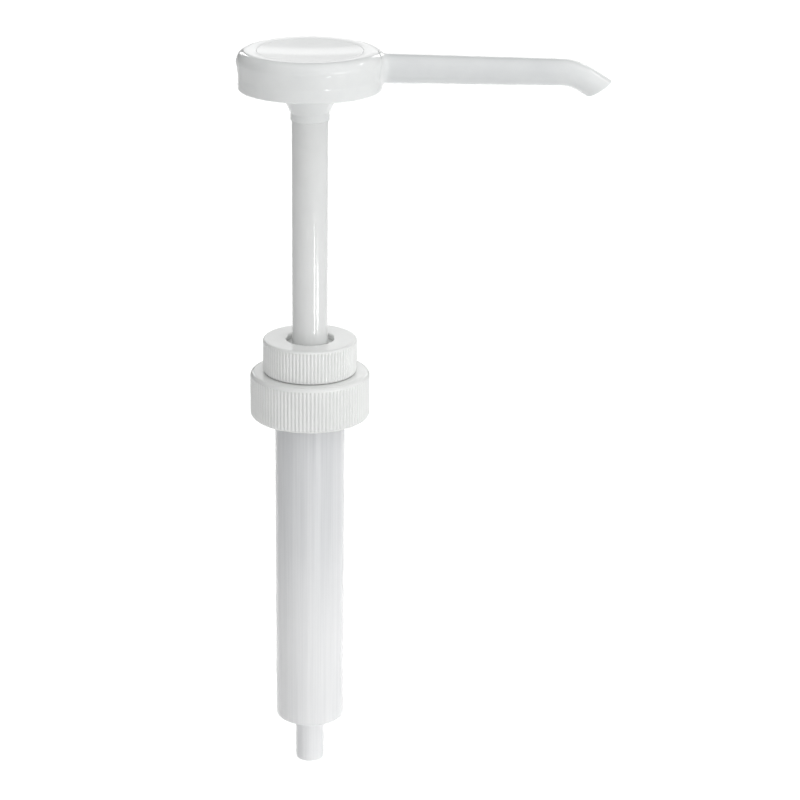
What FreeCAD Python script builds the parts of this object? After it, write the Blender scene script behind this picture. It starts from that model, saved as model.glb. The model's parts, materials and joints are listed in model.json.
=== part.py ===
import FreeCAD, Part
import math
import os

from FreeCAD import Vector

os.makedirs("parts", exist_ok=True)

# Hand pump for thick sauces, which screws on the neck of a jug.
# Origin: on the pump's axis, in the plane where the neck gasket meets the jug's rim.
# +Z points up along the rod and +X points along the spout. All sizes are in millimetres.

# ---------------------------------------------------------------- driving sizes

# Jug neck and the closure that fits it
neck_thread_d = 37.3
neck_thread_pitch = 4.23
neck_thread_turns = 1.6
gasket_t = 1.5
gasket_d = 34.6

# Screw cap
cap_d = 43.0
cap_h = 16.5
cap_roof_t = 1.6
cap_rib_count = 96
cap_rib_depth = 0.4
cap_shoulder_r = 1.6
cap_foot_h = 1.0
cap_foot_in = 0.8
cap_thread_depth = 1.1
cap_thread_width = 1.9
cap_thread_start = 1.0

# Upper collar
collar_wall = 2.1
collar_h = 12.0
collar_roof_t = 1.8
collar_hole_gap = 1.55
collar_hole_lip = 0.5
collar_rib_count = 80
collar_rib_depth = 0.35
collar_shoulder_r = 1.1
collar_foot_h = 0.6
collar_foot_in = 0.4

# Barrel
barrel_d = 25.3
barrel_wall = 1.3
barrel_below_seat = 130.3
floor_t = 2.0
flange_d = 34.6
flange_t = 2.0
barrel_neck_wall = 2.65
collar_thread_depth = 0.6
collar_thread_pitch = 3.0
collar_thread_width = 1.1
collar_thread_turns = 1.75
collar_thread_start = 1.2
spigot_d = 10.7
spigot_l = 18.2
spigot_bore_d = 7.0
barrel_foot_r = 1.2
spigot_chamfer = 0.5

# Rod
rod_d = 12.7
rod_bore_d = 7.6
rod_end_step = 1.15
rod_end_l = 14.0
rod_shoulder_z = 97.5

# Head
head_d = 50.0
head_skirt_z = 108.7
head_h = 13.7
head_bulge = 0.6
head_shoulder_r = 3.9
head_swell_h = 5.0
skirt_wall = 2.0
ceiling_t = 1.8
hub_tip_step = 0.5
hub_tip_h = 2.7
hub_flare_d = 23.0
hub_flare_h = 10.5
hub_bore_d = 7.2
plate_d = 37.0
plate_step = 0.5
plate_dish = 0.7
plate_t = 1.3

# Spout
spout_root_d = 10.3
spout_end_d = 9.1
spout_bore_root_d = 6.2
spout_bore_end_d = 5.8
spout_z = 115.6
spout_droop_deg = 1.25
spout_bend_x = 86.3
spout_bend_r = 18.0
spout_bend_deg = 33.5
spout_tip_l = 4.8
spout_cut_deg = 33.0
spout_fillet = 3.0

# Piston and its valve
piston_flange_gap = 0.45
piston_flange_t = 2.5
piston_waist_gap = 1.75
cup_section = 3.75
cup_h = 8.0
cup_lip = 1.2
cup_heel_h = 4.0
cup_relief = 0.5
rod_socket_l = 10.0
ball_stop_t = 1.2
chamber_gap = 0.9
plug_spigot_wall = 1.6
plug_spigot_l = 4.0
plug_flange_gap = 1.55
plug_flange_t = 2.0
plug_tail_d = 10.4
plug_tail_l = 3.7
outlet_ball_d = 8.0
outlet_bore_d = 5.2
outlet_lift = 2.0
seat_step = 0.3
stop_slot_w = 1.8
stop_slot_l = 7.2

# Inlet valve
inlet_ball_d = 11.0
inlet_lift = 2.5
seat_boss_h = 2.0
cage_wall = 2.0
cage_side_gap = 0.7
cage_roof_t = 1.5
cage_top_hole_d = 6.0
cage_window_w = 4.4
cage_boss_wall = 0.8
cage_sill = 2.5

# Spring and its follower
spring_wire_d = 1.4
spring_side_gap = 1.85
spring_turns = 14
follower_t = 2.0
follower_collar_l = 3.0
follower_collar_bore_d = 14.0

# Rod guide and seals
guide_flange_t = 1.4
guide_gasket_t = 0.4
guide_skirt_l = 10.1
rod_ring_section = 2.0
hub_ring_section = 1.8
hub_ring_z = 105.9

# Clearances
spin_gap = 0.3
run_gap = 0.06
seat_gap = 0.05
slip_gap = 0.05
thread_gap = 0.15
neck_thread_gap = 0.4
ball_gap = 0.6
cup_run_gap = 0.05
spring_gap = 0.2
follower_gap = 0.5
stop_gap = 0.1

# Depth by which solids that make one piece run into each other before they are joined
overlap = 0.5
thread_sink = 0.2

# Length by which a cutting solid runs past the face that it opens
past = 1.0

# ---------------------------------------------------------------- places that follow

barrel_r = barrel_d / 2
bore_r = barrel_r - barrel_wall
rod_r = rod_d / 2
barrel_neck_d = 2 * (bore_r + barrel_neck_wall)
rod_end_d = rod_d - 2 * rod_end_step
hub_tip_d = rod_d + 2 * hub_tip_step
collar_hole_d = hub_tip_d + 2 * collar_hole_gap
flange_top_z = gasket_t + flange_t
cap_roof_z = flange_top_z + spin_gap
cap_top_z = cap_roof_z + cap_roof_t
cap_foot_z = cap_top_z - cap_h
cap_bore_r = neck_thread_d / 2 + neck_thread_gap
collar_foot_z = cap_top_z + spin_gap
collar_top_z = collar_foot_z + collar_h
collar_ceiling_z = collar_top_z - collar_roof_t
collar_crest_r = barrel_neck_d / 2 + collar_thread_depth
collar_bore_r = collar_crest_r + thread_gap
collar_d = 2 * (collar_bore_r + collar_wall)
collar_thread_z = collar_foot_z + collar_thread_start
barrel_neck_z = collar_ceiling_z - guide_flange_t - guide_gasket_t
guide_foot_z = barrel_neck_z - guide_skirt_l
guide_r = barrel_neck_d / 2
rod_ring_r = rod_r + seat_gap + rod_ring_section / 2
rod_ring_z = (guide_foot_z + barrel_neck_z) / 2
barrel_foot_z = -barrel_below_seat
floor_z = barrel_foot_z + floor_t
spigot_foot_z = barrel_foot_z - spigot_l

press_stroke = rod_shoulder_z - collar_ceiling_z - stop_gap

piston_top_z = guide_foot_z - spin_gap
rod_foot_z = piston_top_z - rod_socket_l
ball_stop_z = rod_foot_z - ball_stop_t
outlet_ball_z = ball_stop_z - stop_gap - outlet_lift - outlet_ball_d / 2
outlet_apex_z = outlet_ball_z - (outlet_ball_d / 2 + seat_gap) * math.sqrt(2)
outlet_seat_z = outlet_apex_z + outlet_bore_d / 2
plug_chamber_r = outlet_ball_d / 2 + ball_gap
plug_spigot_d = 2 * (plug_chamber_r + plug_spigot_wall)
chamber_d = outlet_ball_d + 2 * chamber_gap
piston_flange_d = 2 * (bore_r - piston_flange_gap)
piston_waist_d = 2 * (bore_r - piston_waist_gap)
plug_flange_d = 2 * (bore_r - plug_flange_gap)
cup_seat_d = 2 * (bore_r - cup_section)
spring_mean_d = 2 * (bore_r - spring_side_gap)
piston_foot_z = outlet_seat_z + seat_step
cup_foot_z = piston_foot_z + slip_gap
cup_top_z = cup_foot_z + cup_h
plug_flange_z = piston_foot_z - plug_flange_t
plug_tail_z = plug_flange_z - plug_tail_l
follower_top_z = plug_flange_z - spin_gap
follower_foot_z = follower_top_z - follower_t

seat_boss_z = floor_z + seat_boss_h
inlet_cone_top_r = inlet_ball_d / 2 + ball_gap
cage_bore_d = inlet_ball_d + 2 * cage_side_gap
inlet_apex_z = seat_boss_z - inlet_cone_top_r
inlet_ball_z = inlet_apex_z + (inlet_ball_d / 2 + seat_gap) * math.sqrt(2)
cage_roof_z = inlet_ball_z + inlet_ball_d / 2 + inlet_lift + stop_gap
cage_top_z = cage_roof_z + cage_roof_t

head_top_z = head_skirt_z + head_h
head_r = head_d / 2
plate_foot_z = head_top_z - plate_step - plate_dish - plate_t
ceiling_z = plate_foot_z - ceiling_t
rod_top_z = rod_shoulder_z + rod_end_l


# ---------------------------------------------------------------- helpers


def at(x, y, z):
    return Vector(x, y, z)


def cylinder(radius, low, high):
    """Upright cylinder from height low to height high."""
    return Part.makeCylinder(radius, high - low, at(0, 0, low))


def tube(outer, inner, low, high):
    """Upright tube from height low to height high."""
    return cylinder(outer, low, high).cut(cylinder(inner, low - past, high + past))


def cone(low_radius, high_radius, low, high):
    """Upright cone frustum."""
    return Part.makeCone(low_radius, high_radius, high - low, at(0, 0, low))


def turned(points):
    """Solid of revolution about Z from a closed outline of (radius, height) points."""
    corners = [at(r, 0, z) for r, z in points]
    outline = Part.makePolygon(corners + corners[:1])
    return Part.Face(outline).revolve(at(0, 0, 0), at(0, 0, 1), 360)


def ring(centre_radius, section_d, z):
    """O-ring of round section."""
    return Part.makeTorus(centre_radius, section_d / 2, at(0, 0, z))


def ribbed_disc(outer_r, depth, count, low, high):
    """Upright prism whose outline has rounded ribs: arcs of full radius with a V groove between."""
    step = 2 * math.pi / count

    def on_circle(radius, angle):
        return at(radius * math.cos(angle), radius * math.sin(angle), low)

    edges = []
    for i in range(count):
        groove = on_circle(outer_r - depth, i * step)
        crest = on_circle(outer_r, (i + 0.5) * step)
        next_groove = on_circle(outer_r - depth, (i + 1) * step)
        edges.append(Part.Arc(groove, crest, next_groove).toShape())
    face = Part.Face(Part.Wire(edges))
    return face.extrude(at(0, 0, high - low))


def thread(root_r, crest_r, width, pitch, low, turns):
    """Helical ridge from root_r to crest_r, whose crest is half as wide as its root.

    It stands outwards or inwards, as the radii say.
    """
    helix = Part.makeHelix(pitch, pitch * turns, root_r)
    corners = [
        at(root_r, 0, -width / 2),
        at(crest_r, 0, -width / 4),
        at(crest_r, 0, width / 4),
        at(root_r, 0, width / 2),
    ]
    profile = Part.makePolygon(corners + corners[:1])
    ridge = Part.Wire(helix).makePipeShell([profile], True, True)
    if ridge.Volume < 0:
        ridge.reverse()
    ridge.translate(at(0, 0, low))
    return ridge


# ---------------------------------------------------------------- closure and collar


def ribbed_shell(outer_d, rib_depth, rib_count, foot, top, shoulder, foot_h, foot_in):
    """Outside of a ribbed ring: ribs stop below a round shoulder and above a plain tapered foot."""
    radius = outer_d / 2
    shoulder_in = shoulder * (1 - math.sqrt(0.5))
    outline = [
        (0, foot),
        (radius - foot_in, foot),
        (radius, foot + foot_h),
        (radius, top - shoulder),
        (radius - shoulder_in, top - shoulder_in),
        (radius - shoulder, top),
        (0, top),
    ]
    envelope = turned(outline)
    ribs = ribbed_disc(radius, rib_depth, rib_count, foot - past, top - shoulder)
    plain = cylinder(radius - rib_depth, top - shoulder, top + past)
    return envelope.common(ribs.fuse(plain))


def make_screw_cap():
    shell = ribbed_shell(
        cap_d, cap_rib_depth, cap_rib_count, cap_foot_z, cap_top_z,
        cap_shoulder_r, cap_foot_h, cap_foot_in,
    )
    shell = shell.cut(cylinder(cap_bore_r, cap_foot_z - past, cap_roof_z))
    shell = shell.cut(cylinder(collar_crest_r + spin_gap, cap_roof_z - past, cap_top_z + past))
    ridge = thread(
        cap_bore_r + thread_sink, cap_bore_r - cap_thread_depth, cap_thread_width, neck_thread_pitch,
        cap_foot_z + cap_thread_start + cap_thread_width / 2, neck_thread_turns,
    )
    return shell.fuse(ridge)


def make_upper_collar():
    shell = ribbed_shell(
        collar_d, collar_rib_depth, collar_rib_count, collar_foot_z, collar_top_z,
        collar_shoulder_r, collar_foot_h, collar_foot_in,
    )
    shell = shell.cut(cylinder(collar_bore_r, collar_foot_z - past, collar_ceiling_z))
    shell = shell.cut(cylinder(collar_hole_d / 2, collar_ceiling_z - past, collar_top_z + past))
    lip_z = collar_top_z - collar_hole_lip
    shell = shell.cut(cone(collar_hole_d / 2, collar_hole_d / 2 + collar_hole_lip, lip_z, collar_top_z))
    ridge = thread(
        collar_bore_r + thread_sink, collar_bore_r - collar_thread_depth, collar_thread_width,
        collar_thread_pitch, collar_thread_z + collar_thread_pitch / 2, collar_thread_turns,
    )
    return shell.fuse(ridge)


# ---------------------------------------------------------------- barrel


def make_barrel():
    outer = cylinder(barrel_r, barrel_foot_z, gasket_t)
    edge = [e for e in outer.Edges if abs(e.BoundBox.ZMax - barrel_foot_z) < 0.001]
    outer = outer.makeFillet(barrel_foot_r, [edge[0]])
    spigot = turned([
        (0, spigot_foot_z),
        (spigot_d / 2 - spigot_chamfer, spigot_foot_z),
        (spigot_d / 2, spigot_foot_z + spigot_chamfer),
        (spigot_d / 2, floor_z),
        (0, floor_z),
    ])
    body = outer.fuse(spigot)
    body = body.fuse(cylinder(flange_d / 2, gasket_t, flange_top_z))
    body = body.fuse(cylinder(barrel_neck_d / 2, flange_top_z - overlap, barrel_neck_z))
    body = body.cut(cylinder(bore_r, floor_z, barrel_neck_z + past))
    body = body.fuse(cylinder(cage_bore_d / 2 + cage_boss_wall, floor_z - overlap, seat_boss_z))
    body = body.cut(cylinder(spigot_bore_d / 2, spigot_foot_z - past, seat_boss_z + past))
    seat_low = inlet_apex_z + spigot_bore_d / 2
    body = body.cut(cone(spigot_bore_d / 2, inlet_cone_top_r, seat_low, seat_boss_z))
    ridge = thread(
        barrel_neck_d / 2 - thread_sink, collar_crest_r, collar_thread_width,
        collar_thread_pitch, collar_thread_z, collar_thread_turns,
    )
    return body.fuse(ridge).removeSplitter()


def make_neck_gasket():
    return tube(gasket_d / 2, barrel_r + slip_gap, 0, gasket_t)


# ---------------------------------------------------------------- rod guide and seals


def make_rod_guide():
    rod_hole_r = rod_r + run_gap
    body = turned([
        (rod_hole_r, guide_foot_z),
        (bore_r - slip_gap, guide_foot_z),
        (bore_r - slip_gap, collar_ceiling_z - guide_flange_t),
        (guide_r, collar_ceiling_z - guide_flange_t),
        (guide_r, collar_ceiling_z),
        (rod_hole_r, collar_ceiling_z),
    ])
    groove_h = rod_ring_section + 2 * slip_gap
    groove_r = rod_ring_r + rod_ring_section / 2 + slip_gap
    return body.cut(tube(groove_r, rod_r, rod_ring_z - groove_h / 2, rod_ring_z + groove_h / 2))


def make_guide_gasket():
    return tube(guide_r, bore_r, barrel_neck_z, barrel_neck_z + guide_gasket_t)


def make_rod_o_ring():
    return ring(rod_ring_r, rod_ring_section, rod_ring_z)


def make_hub_o_ring():
    return ring(rod_end_d / 2 + hub_ring_section / 2, hub_ring_section, hub_ring_z)


# ---------------------------------------------------------------- inlet valve and spring


def make_inlet_cage():
    boss_r = cage_bore_d / 2 + cage_boss_wall
    outer_r = cage_bore_d / 2 + cage_wall
    cage = cylinder(outer_r, floor_z, cage_top_z)
    cage = cage.cut(cylinder(boss_r + slip_gap, floor_z - past, seat_boss_z))
    cage = cage.cut(cylinder(cage_bore_d / 2, seat_boss_z - past, cage_roof_z))
    cage = cage.cut(cylinder(cage_top_hole_d / 2, cage_roof_z - past, cage_top_z + past))
    window_low = seat_boss_z + cage_sill
    window_h = cage_roof_z - cage_roof_t - window_low
    for turn in range(2):
        corner = at(-2 * outer_r, -cage_window_w / 2, window_low)
        window = Part.makeBox(4 * outer_r, cage_window_w, window_h, corner)
        window.rotate(at(0, 0, 0), at(0, 0, 1), 45 + 90 * turn)
        cage = cage.cut(window)
    return cage


def make_inlet_ball():
    return Part.makeSphere(inlet_ball_d / 2, at(0, 0, inlet_ball_z))


def make_return_spring():
    low = floor_z + slip_gap + spring_wire_d / 2
    high = follower_foot_z - slip_gap - spring_wire_d / 2
    pitch = (high - low) / spring_turns
    helix = Part.makeHelix(pitch, high - low, spring_mean_d / 2)
    circle = Part.makeCircle(spring_wire_d / 2, at(spring_mean_d / 2, 0, 0), at(0, 1, 0))
    section = Part.Wire(circle)
    coil = Part.Wire(helix).makePipeShell([section], True, True)
    if coil.Volume < 0:
        coil.reverse()
    coil.translate(at(0, 0, low))
    return coil


def make_spring_follower():
    locating_r = spring_mean_d / 2 - spring_wire_d / 2 - spring_gap
    collar_foot = follower_foot_z - follower_collar_l
    washer = tube(bore_r - follower_gap, plug_tail_d / 2 + run_gap, follower_foot_z, follower_top_z)
    collar = tube(locating_r, follower_collar_bore_d / 2, collar_foot, follower_foot_z)
    return washer.fuse(collar).removeSplitter()


# ---------------------------------------------------------------- piston and outlet valve


def make_piston_body():
    outline = [
        (0, piston_foot_z),
        (cup_seat_d / 2, piston_foot_z),
        (cup_seat_d / 2, cup_top_z + slip_gap),
        (piston_waist_d / 2, cup_top_z + slip_gap),
        (piston_waist_d / 2, piston_top_z - piston_flange_t),
        (piston_flange_d / 2, piston_top_z - piston_flange_t),
        (piston_flange_d / 2, piston_top_z),
        (0, piston_top_z),
    ]
    body = turned(outline)
    body = body.cut(cylinder(rod_r + slip_gap, rod_foot_z, piston_top_z + past))
    body = body.cut(cylinder(chamber_d / 2, piston_foot_z - past, ball_stop_z))
    socket_top_z = piston_foot_z + plug_spigot_l + slip_gap
    body = body.cut(cylinder(plug_spigot_d / 2 + slip_gap, piston_foot_z - past, socket_top_z))
    for turn in range(2):
        corner = at(-stop_slot_l / 2, -stop_slot_w / 2, ball_stop_z - past)
        slot = Part.makeBox(stop_slot_l, stop_slot_w, ball_stop_t + 2 * past, corner)
        slot.rotate(at(0, 0, 0), at(0, 0, 1), 90 * turn)
        body = body.cut(slot)
    return body


def make_piston_cup():
    inner_r = cup_seat_d / 2 + slip_gap
    outer_r = bore_r - cup_run_gap
    lip_gap_r = (inner_r + outer_r) / 2
    heel_z = cup_foot_z + cup_heel_h
    return turned([
        (inner_r, cup_foot_z),
        (outer_r - cup_relief, cup_foot_z),
        (outer_r - cup_relief, heel_z),
        (outer_r, cup_top_z - cup_lip),
        (outer_r, cup_top_z),
        (outer_r - cup_lip, cup_top_z),
        (lip_gap_r, heel_z),
        (inner_r + cup_lip, cup_top_z),
        (inner_r, cup_top_z),
    ])


def make_seat_plug():
    plug = cylinder(plug_flange_d / 2, plug_flange_z, piston_foot_z)
    plug = plug.fuse(cylinder(plug_spigot_d / 2, piston_foot_z - overlap, piston_foot_z + plug_spigot_l))
    plug = plug.fuse(cylinder(plug_tail_d / 2, plug_tail_z, plug_flange_z + overlap))
    cone_top_z = outlet_apex_z + plug_chamber_r
    plug = plug.cut(cylinder(outlet_bore_d / 2, plug_tail_z - past, outlet_seat_z + past))
    plug = plug.cut(cone(outlet_bore_d / 2, plug_chamber_r, outlet_seat_z, cone_top_z))
    plug = plug.cut(cylinder(plug_chamber_r, cone_top_z, piston_foot_z + plug_spigot_l + past))
    return plug.removeSplitter()


def make_outlet_ball():
    return Part.makeSphere(outlet_ball_d / 2, at(0, 0, outlet_ball_z))


# ---------------------------------------------------------------- rod, head and spout


def make_rod():
    rod = cylinder(rod_r, rod_foot_z, rod_shoulder_z)
    rod = rod.fuse(cylinder(rod_end_d / 2, rod_shoulder_z - overlap, rod_top_z))
    return rod.cut(cylinder(rod_bore_d / 2, rod_foot_z - past, rod_top_z + past)).removeSplitter()


def spout_centre_line():
    """Start of the bend, its centre and its end, with the directions before and after it."""
    droop = math.radians(spout_droop_deg)
    bend = math.radians(spout_bend_deg)
    before = at(math.cos(droop), 0, -math.sin(droop))
    after = at(math.cos(bend), 0, -math.sin(bend))
    bend_start = at(spout_bend_x, 0, spout_z - (spout_bend_x - head_r) * math.tan(droop))
    centre = bend_start - at(math.sin(droop), 0, math.cos(droop)) * spout_bend_r
    bend_end = centre + at(math.sin(bend), 0, math.cos(bend)) * spout_bend_r
    return bend_start, centre, bend_end, before, after


def spout_solid(root_r, end_r, start_x, tip_l):
    """Round bar along the spout: a tapered run from start_x, a toroidal bend and a straight tip."""
    bend_start, centre, bend_end, before, after = spout_centre_line()
    run = (spout_bend_x - start_x) / before.x
    straight = Part.makeCone(root_r, end_r, run, bend_start - before * run, before)
    section = Part.Face(Part.Wire(Part.makeCircle(end_r, bend_start, before)))
    elbow = section.revolve(centre, at(0, 1, 0), spout_bend_deg - spout_droop_deg)
    tip = Part.makeCylinder(end_r, tip_l, bend_end, after)
    return straight.fuse(elbow).fuse(tip)


def beyond_spout_mouth():
    """Block past the slanted plane that ends the spout."""
    bend_end, after = spout_centre_line()[2], spout_centre_line()[4]
    size = 6 * spout_end_d
    block = Part.makeBox(size, size, size, at(-size / 2, -size / 2, -size))
    block.rotate(at(0, 0, 0), at(0, 1, 0), -spout_cut_deg)
    block.translate(bend_end + after * spout_tip_l)
    return block


def make_bell():
    """Shallow round bell whose skirt swells to a rounded shoulder, open below."""
    swell_r = head_r + head_bulge
    swell_z = head_top_z - head_shoulder_r
    flat_r = swell_r - head_shoulder_r
    arc_middle = at(
        flat_r + head_shoulder_r * math.sqrt(0.5), 0, swell_z + head_shoulder_r * math.sqrt(0.5),
    )
    corners = [
        at(0, 0, head_skirt_z),
        at(head_r, 0, head_skirt_z),
        at(head_r, 0, swell_z - head_swell_h),
        at(swell_r, 0, swell_z),
        at(flat_r, 0, head_top_z),
        at(0, 0, head_top_z),
    ]
    edges = [Part.makeLine(corners[i], corners[i + 1]) for i in range(3)]
    edges.append(Part.Arc(corners[3], arc_middle, corners[4]).toShape())
    edges.append(Part.makeLine(corners[4], corners[5]))
    edges.append(Part.makeLine(corners[5], corners[0]))
    bell = Part.Face(Part.Wire(edges)).revolve(at(0, 0, 0), at(0, 0, 1), 360)
    return bell.cut(cylinder(head_r - skirt_wall, head_skirt_z - past, ceiling_z))


def make_hub():
    """Boss under the bell: a short straight tip, then a flare."""
    return turned([
        (0, rod_shoulder_z),
        (hub_tip_d / 2, rod_shoulder_z),
        (hub_tip_d / 2, rod_shoulder_z + hub_tip_h),
        (hub_flare_d / 2, rod_shoulder_z + hub_tip_h + hub_flare_h),
        (hub_flare_d / 2, ceiling_z + overlap),
        (0, ceiling_z + overlap),
    ])


def make_spout_root():
    """Flare where the spout leaves the skirt."""
    droop = math.tan(math.radians(spout_droop_deg))
    flare = Part.makeCone(
        spout_root_d / 2 + spout_fillet, spout_root_d / 2, spout_fillet,
        at(head_r - overlap, 0, spout_z), at(1, 0, -droop),
    )
    return flare.common(cylinder(2 * head_r, head_skirt_z + spout_fillet / 4, head_top_z - spout_fillet / 2))


def make_head():
    head = make_bell().fuse(make_hub())
    spout_start = hub_flare_d / 2 - spout_fillet
    head = head.fuse(spout_solid(spout_root_d / 2, spout_end_d / 2, spout_start, spout_end_d))
    head = head.fuse(make_spout_root())
    head = head.cut(cylinder(plate_d / 2 + slip_gap, plate_foot_z, head_top_z + past))
    head = head.cut(cylinder(rod_end_d / 2 + slip_gap, rod_shoulder_z - past, rod_top_z + slip_gap))
    head = head.cut(cylinder(hub_bore_d / 2, rod_top_z, spout_z + spout_bore_root_d / 2))
    groove_h = hub_ring_section + 2 * slip_gap
    groove_r = rod_end_d / 2 + hub_ring_section + slip_gap
    head = head.cut(cylinder(groove_r, hub_ring_z - groove_h / 2, hub_ring_z + groove_h / 2))
    head = head.cut(spout_solid(spout_bore_root_d / 2, spout_bore_end_d / 2, 0, 2 * spout_end_d))
    return head.cut(beyond_spout_mouth())


def make_head_top_plate():
    radius = plate_d / 2
    edge_z = head_top_z - plate_step
    centre_z = edge_z - plate_dish
    half_r = radius / 2
    dish_r = (radius ** 2 + plate_dish ** 2) / (2 * plate_dish)
    half_z = centre_z + dish_r - math.sqrt(dish_r ** 2 - half_r ** 2)
    foot = at(0, 0, plate_foot_z)
    foot_edge = at(radius, 0, plate_foot_z)
    rim = at(radius, 0, edge_z)
    centre = at(0, 0, centre_z)
    edges = [
        Part.makeLine(foot, foot_edge),
        Part.makeLine(foot_edge, rim),
        Part.Arc(rim, at(half_r, 0, half_z), centre).toShape(),
        Part.makeLine(centre, foot),
    ]
    return Part.Face(Part.Wire(edges)).revolve(at(0, 0, 0), at(0, 0, 1), 360)


# ---------------------------------------------------------------- build

makers = {
    "barrel": make_barrel,
    "neck_gasket": make_neck_gasket,
    "screw_cap": make_screw_cap,
    "upper_collar": make_upper_collar,
    "rod_guide": make_rod_guide,
    "guide_gasket": make_guide_gasket,
    "rod_o_ring": make_rod_o_ring,
    "inlet_cage": make_inlet_cage,
    "inlet_ball": make_inlet_ball,
    "return_spring": make_return_spring,
    "spring_follower": make_spring_follower,
    "seat_plug": make_seat_plug,
    "piston_body": make_piston_body,
    "piston_cup": make_piston_cup,
    "outlet_ball": make_outlet_ball,
    "rod": make_rod,
    "head": make_head,
    "head_top_plate": make_head_top_plate,
    "hub_o_ring": make_hub_o_ring,
}

for node, make in makers.items():
    shape = make()
    shape.exportStep("parts/" + node + ".step")
    print(node, shape.ShapeType, len(shape.Solids), round(shape.Volume, 1), shape.isValid())
print("press stroke", round(press_stroke, 2), "floor", floor_z, "ceiling", round(ceiling_z, 2))
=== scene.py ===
# %% [markdown]
# # The looks of a sauce pump, built round its CAD frame
# A pump like this is moulded from white polypropylene: a cap for the jug, a collar, a barrel, a rod and a
# head with a bent spout. The frame brings every CAD solid in metres, with +Z up the rod and +X along the
# spout. This lesson keeps that frame as it is and puts finely shaped surfaces in the places that the CAD
# gives.

# %% Load the frame
import json
import math

import bpy
import numpy as np
from mathutils import Matrix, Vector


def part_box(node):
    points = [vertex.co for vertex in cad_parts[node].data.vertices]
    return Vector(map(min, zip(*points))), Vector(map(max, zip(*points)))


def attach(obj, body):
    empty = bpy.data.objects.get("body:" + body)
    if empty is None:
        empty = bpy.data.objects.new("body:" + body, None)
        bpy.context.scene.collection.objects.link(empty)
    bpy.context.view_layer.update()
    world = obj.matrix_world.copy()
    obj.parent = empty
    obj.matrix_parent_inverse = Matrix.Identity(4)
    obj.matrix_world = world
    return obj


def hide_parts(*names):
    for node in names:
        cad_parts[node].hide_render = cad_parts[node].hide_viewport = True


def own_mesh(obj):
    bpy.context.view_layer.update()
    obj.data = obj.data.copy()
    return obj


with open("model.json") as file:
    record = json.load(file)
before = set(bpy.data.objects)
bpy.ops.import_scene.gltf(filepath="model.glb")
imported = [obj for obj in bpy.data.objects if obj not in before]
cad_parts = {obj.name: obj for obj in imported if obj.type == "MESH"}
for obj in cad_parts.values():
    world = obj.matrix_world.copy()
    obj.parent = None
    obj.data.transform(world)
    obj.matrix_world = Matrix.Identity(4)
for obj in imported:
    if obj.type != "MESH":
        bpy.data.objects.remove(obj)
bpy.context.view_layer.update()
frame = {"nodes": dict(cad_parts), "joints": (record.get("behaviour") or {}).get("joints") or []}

# %% [markdown]
# ## Helpers for turned pieces
# Nearly every piece of the pump is round, so it is an outline turned about the Z axis. A lathe modifier
# could do that, but ribs and threads would need booleans. Here the outline and the angle are the two
# parameters of a grid of points, and ribs or threads are a small change of radius, so one formula gives
# the whole surface.

# %% Units and CAD places
MM = 0.001


def cad(node):
    """Outer radius, lowest and highest level of a round CAD node, in millimetres."""
    low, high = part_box(node)
    return high.x / MM, low.z / MM, high.z / MM


def smooth(t):
    """Ease from 0 to 1: 3 t^2 - 2 t^3, held at 0 below and at 1 above."""
    t = np.clip(t, 0, 1)
    return t * t * (3 - 2 * t)


print("barrel unit reaches from", round(cad("barrel")[1], 1), "to", round(cad("barrel")[2], 1), "mm")

# %% Outlines with rounded corners
ARC_STEPS = 8


def outline(corners, closed=True, step=6.0, arc_steps=ARC_STEPS):
    """Points of an outline from corners (radius, height, rounding).

    A corner is cut back along both its sides by rounding / tan(half angle), and an arc tangent to both
    sides takes its place. Straight runs are then divided so that none is longer than step.
    """
    count = len(corners)
    parts = []
    for i, (r, z, rounding) in enumerate(corners):
        here = np.array((r, z), float)
        if rounding == 0:
            parts.append(here[None])
            continue
        back = np.array(corners[i - 1][:2]) - here
        ahead = np.array(corners[(i + 1) % count][:2]) - here
        back /= np.linalg.norm(back)
        ahead /= np.linalg.norm(ahead)
        half = math.acos(np.clip(back @ ahead, -1, 1)) / 2
        turn = math.pi - 2 * half
        middle = here + (back + ahead) / np.linalg.norm(back + ahead) * rounding / math.sin(half)
        start = here + back * rounding / math.tan(half) - middle
        end = here + ahead * rounding / math.tan(half) - middle
        t = np.linspace(0, 1, arc_steps + 1)[:, None]
        parts.append(middle + (np.sin((1 - t) * turn) * start + np.sin(t * turn) * end) / math.sin(turn))
    points = np.concatenate(parts)
    starts = points if closed else points[:-1]
    ends = np.roll(points, -1, axis=0) if closed else points[1:]
    pieces = np.maximum(1, np.ceil(np.linalg.norm(ends - starts, axis=1) / step)).astype(int)
    run = np.repeat(np.arange(len(pieces)), pieces)
    nth = np.arange(pieces.sum()) - np.repeat(np.cumsum(pieces) - pieces, pieces)
    t = (nth / pieces[run])[:, None]
    divided = starts[run] * (1 - t) + ends[run] * t
    return divided if closed else np.concatenate([divided, points[-1:]])


square = outline([(1, 0, 0.2), (2, 0, 0.2), (2, 1, 0.2), (1, 1, 0.2)])
print("a square with rounded corners has", len(square), "points")

# %% From outline to surface
NO_TRIANGLES = np.empty((0, 3), int)


def grid_faces(rows, columns, wrap_rows):
    """Quads between neighbouring rows and columns of a grid; columns wrap, rows only when asked."""
    i = np.arange(rows if wrap_rows else rows - 1)[:, None]
    k = np.arange(columns)[None, :]
    below, above = i * columns, (i + 1) % rows * columns
    following = (k + 1) % columns
    quads = np.broadcast_arrays(below + k, below + following, above + following, above + k)
    return np.stack(quads, axis=-1).reshape(-1, 4)


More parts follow.
